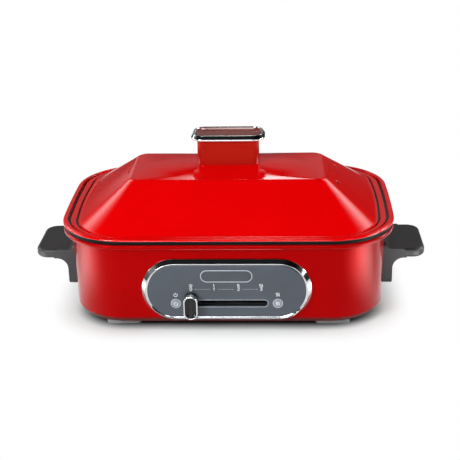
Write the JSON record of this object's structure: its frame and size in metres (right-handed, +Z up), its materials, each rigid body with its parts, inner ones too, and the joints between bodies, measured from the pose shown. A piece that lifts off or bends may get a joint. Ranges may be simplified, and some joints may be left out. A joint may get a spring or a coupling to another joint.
{
  "type": "countertop multicooker",
  "caption": "Countertop multicooker: drafted rounded-rectangle base, lift-out pan, lift-off hipped lid with a capped knob, slide heat control on a ringed front panel, side handles.",
  "frame": {"origin": "on the floor under the middle of the footprint", "axes": "+X to the right seen from the front, +Y to the back, +Z up; the control panel faces -Y"},
  "size_m": [0.395, 0.231, 0.1712],
  "materials": {
    "body_enamel": "gloss red",
    "lid_enamel": "high gloss red",
    "knob_red": "gloss red",
    "chrome_plate": "bright chrome plate",
    "panel_grey": "satin blue grey",
    "badge_grey": "satin grey",
    "black_plastic": "matte black",
    "handle_phenolic": "fine-grained dark grey",
    "knob_black": "gloss black",
    "lamp_lens": "translucent grey",
    "board_green": "lacquered board",
    "cream_plastic": "moulded",
    "wire_sleeve": "silicone sleeve",
    "foot_rubber": "matte",
    "cover_steel": "black powder coat",
    "bright_sheet": "bright rolled",
    "zinc_steel": "zinc plated",
    "element_sheath": "oxidised dark",
    "brass_pin": "plated",
    "pan_coating": "black non-stick coat"
  },
  "bodies": {
    "base": {"outer_shell": "body_enamel", "bottom_cover": "cover_steel", "cover_screws": "zinc_steel", "feet": "foot_rubber", "left_handle": "handle_phenolic", "right_handle": "handle_phenolic", "handle_screws": "zinc_steel", "control_bezel": "chrome_plate", "control_panel": "panel_grey", "badge_plate": "badge_grey", "control_chassis": "black_plastic", "power_lamp": "lamp_lens", "heat_lamp": "lamp_lens", "lamp_boards": "board_green", "thermostat_body": "cream_plastic", "reflector_tray": "bright_sheet", "tray_posts": "zinc_steel", "heating_element": "element_sheath", "element_supports": "zinc_steel", "element_terminals": "brass_pin", "sensor_guide": "cream_plastic", "thermal_fuse": "cream_plastic", "terminal_block": "cream_plastic", "wiring": "wire_sleeve", "inlet_housing": "black_plastic", "inlet_pins": "brass_pin", "sensor_spring": "zinc_steel"},
    "pan": {"cooking_pan": "pan_coating"},
    "lid": {"lid_shell": "lid_enamel", "knob_neck": "knob_red", "knob_cap_ring": "chrome_plate", "knob_inlay": "knob_red", "knob_screws": "zinc_steel"},
    "slider": {"slide_carriage": "cream_plastic", "slide_knob": "knob_black", "knob_trim": "chrome_plate"},
    "pinion": {"thermostat_pinion": "cream_plastic"},
    "sensor": {"sensor_plunger": "bright_sheet"}
  },
  "joints": [
    {"name": "pan_lift", "type": "slide", "parent": "base", "child": "pan", "axis": [0, 0, 1], "range_m": [0, 0.08]},
    {"name": "lid_lift", "type": "slide", "parent": "pan", "child": "lid", "axis": [0, 0, 1], "range_m": [0, 0.12]},
    {"name": "heat_slide", "type": "slide", "parent": "base", "child": "slider", "axis": [1, 0, 0], "range_m": [0, 0.0673]},
    {"name": "thermostat_turn", "type": "hinge", "parent": "base", "child": "pinion", "pos_m": [0, -0.07447, 0.018], "axis": [0, 0, 1], "range_deg": [0, 292.3]},
    {"name": "sensor_press", "type": "slide", "parent": "base", "child": "sensor", "axis": [0, 0, 1], "range_m": [-0.003, 0], "stiffness_N_per_m": 500, "springref_m": 0.002, "deforming": ["sensor_spring"]}
  ],
  "couplings": [
    {"joint": "thermostat_turn", "follows": "heat_slide", "rad_per_m": 75.78}
  ]
}
